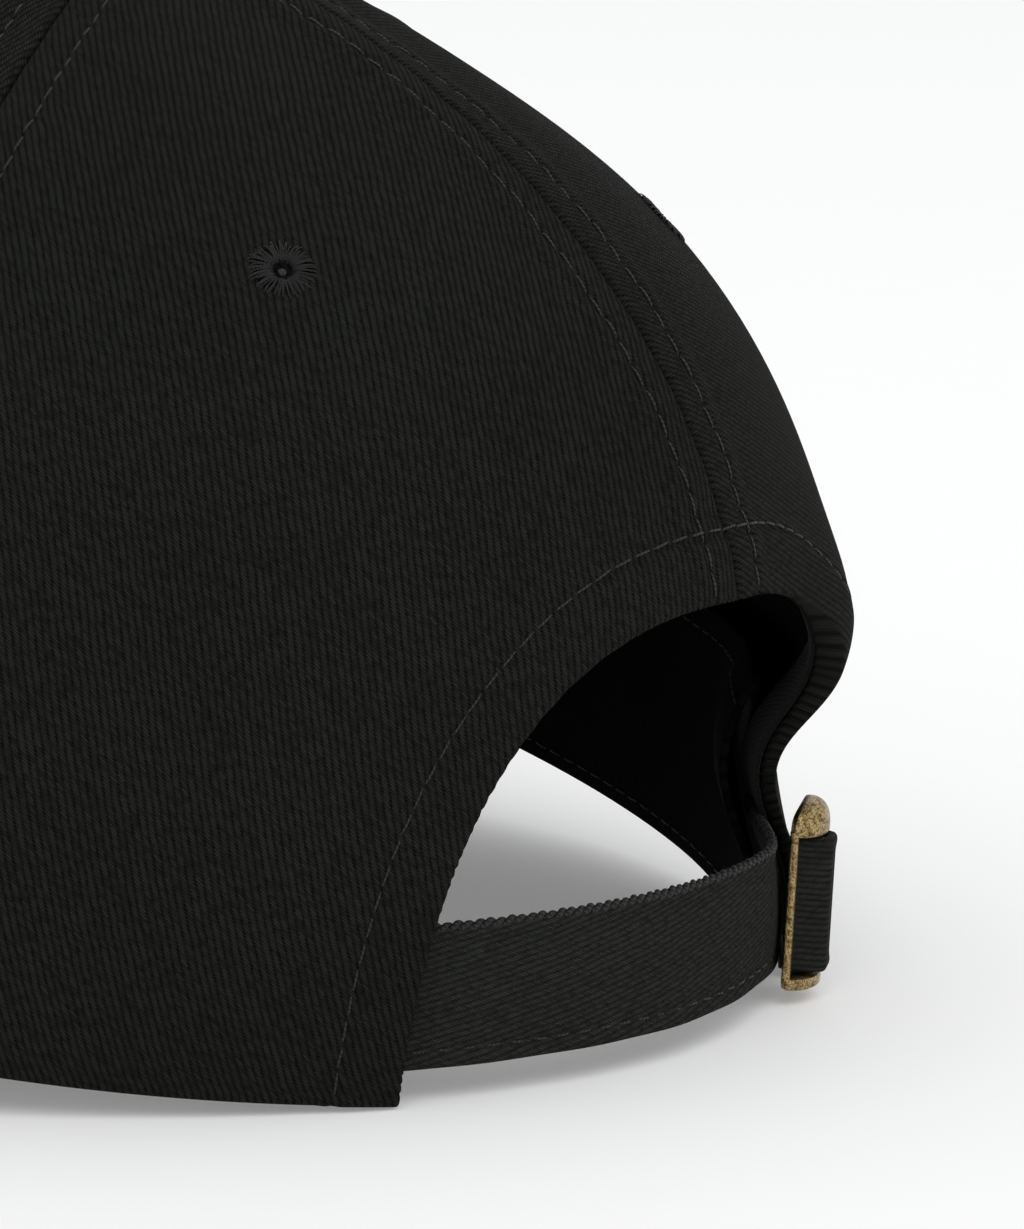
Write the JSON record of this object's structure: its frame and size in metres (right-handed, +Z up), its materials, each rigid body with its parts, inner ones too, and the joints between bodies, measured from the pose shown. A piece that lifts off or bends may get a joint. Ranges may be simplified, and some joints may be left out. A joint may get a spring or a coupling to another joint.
{
  "type": "baseball cap",
  "caption": "Soft baseball cap of sewn cloth panels with a curved visor, an open arch at the back and a cloth strap that adjusts through a metal slide buckle.",
  "frame": {"origin": "middle of the footprint, on the table the cap stands on", "axes": "+Z up, -Y towards the visor, +X to the wearer's left"},
  "size_m": [0.1708, 0.2805, 0.1219],
  "materials": {
    "cotton_twill": "washed black cotton twill, matt, with a faint sheen on its diagonal ribs",
    "seam_tape": "plain-woven black tape",
    "embroidery_thread": "black embroidery thread with a soft sheen",
    "antique_brass": "antiqued brass with dark speckled patina and worn bright edges",
    "button_steel": "plain pressed steel",
    "visor_board_plastic": "white polyethylene sheet, hidden",
    "sweatband_felt": "grey non-woven interlining, hidden"
  },
  "bodies": {
    "cap": {"arch_facing": "seam_tape", "button_back": "button_steel", "button_cover": "cotton_twill", "button_shell": "button_steel", "front_centre_tape": "seam_tape", "front_left_eyelet": "embroidery_thread", "front_left_panel": "cotton_twill", "front_left_tape": "seam_tape", "front_right_eyelet": "embroidery_thread", "front_right_panel": "cotton_twill", "front_right_tape": "seam_tape", "rear_centre_tape": "seam_tape", "rear_left_eyelet": "embroidery_thread", "rear_left_panel": "cotton_twill", "rear_left_tape": "seam_tape", "rear_right_eyelet": "embroidery_thread", "rear_right_panel": "cotton_twill", "rear_right_tape": "seam_tape", "side_left_eyelet": "embroidery_thread", "side_left_panel": "cotton_twill", "side_right_eyelet": "embroidery_thread", "side_right_panel": "cotton_twill", "strap": "cotton_twill", "sweatband": "cotton_twill", "sweatband_interlining": "sweatband_felt", "visor_board": "visor_board_plastic", "visor_cover_top": "cotton_twill", "visor_cover_under": "cotton_twill"},
    "buckle": {"buckle_frame": "antique_brass", "buckle_pin": "antique_brass", "strap_bight": "cotton_twill"}
  },
  "joints": [
    {"name": "buckle_slide", "type": "hinge", "parent": "cap", "child": "buckle", "pos_m": [0, 0.06856, 0], "axis": [0, 0, -1], "range_deg": [0, 50]}
  ]
}
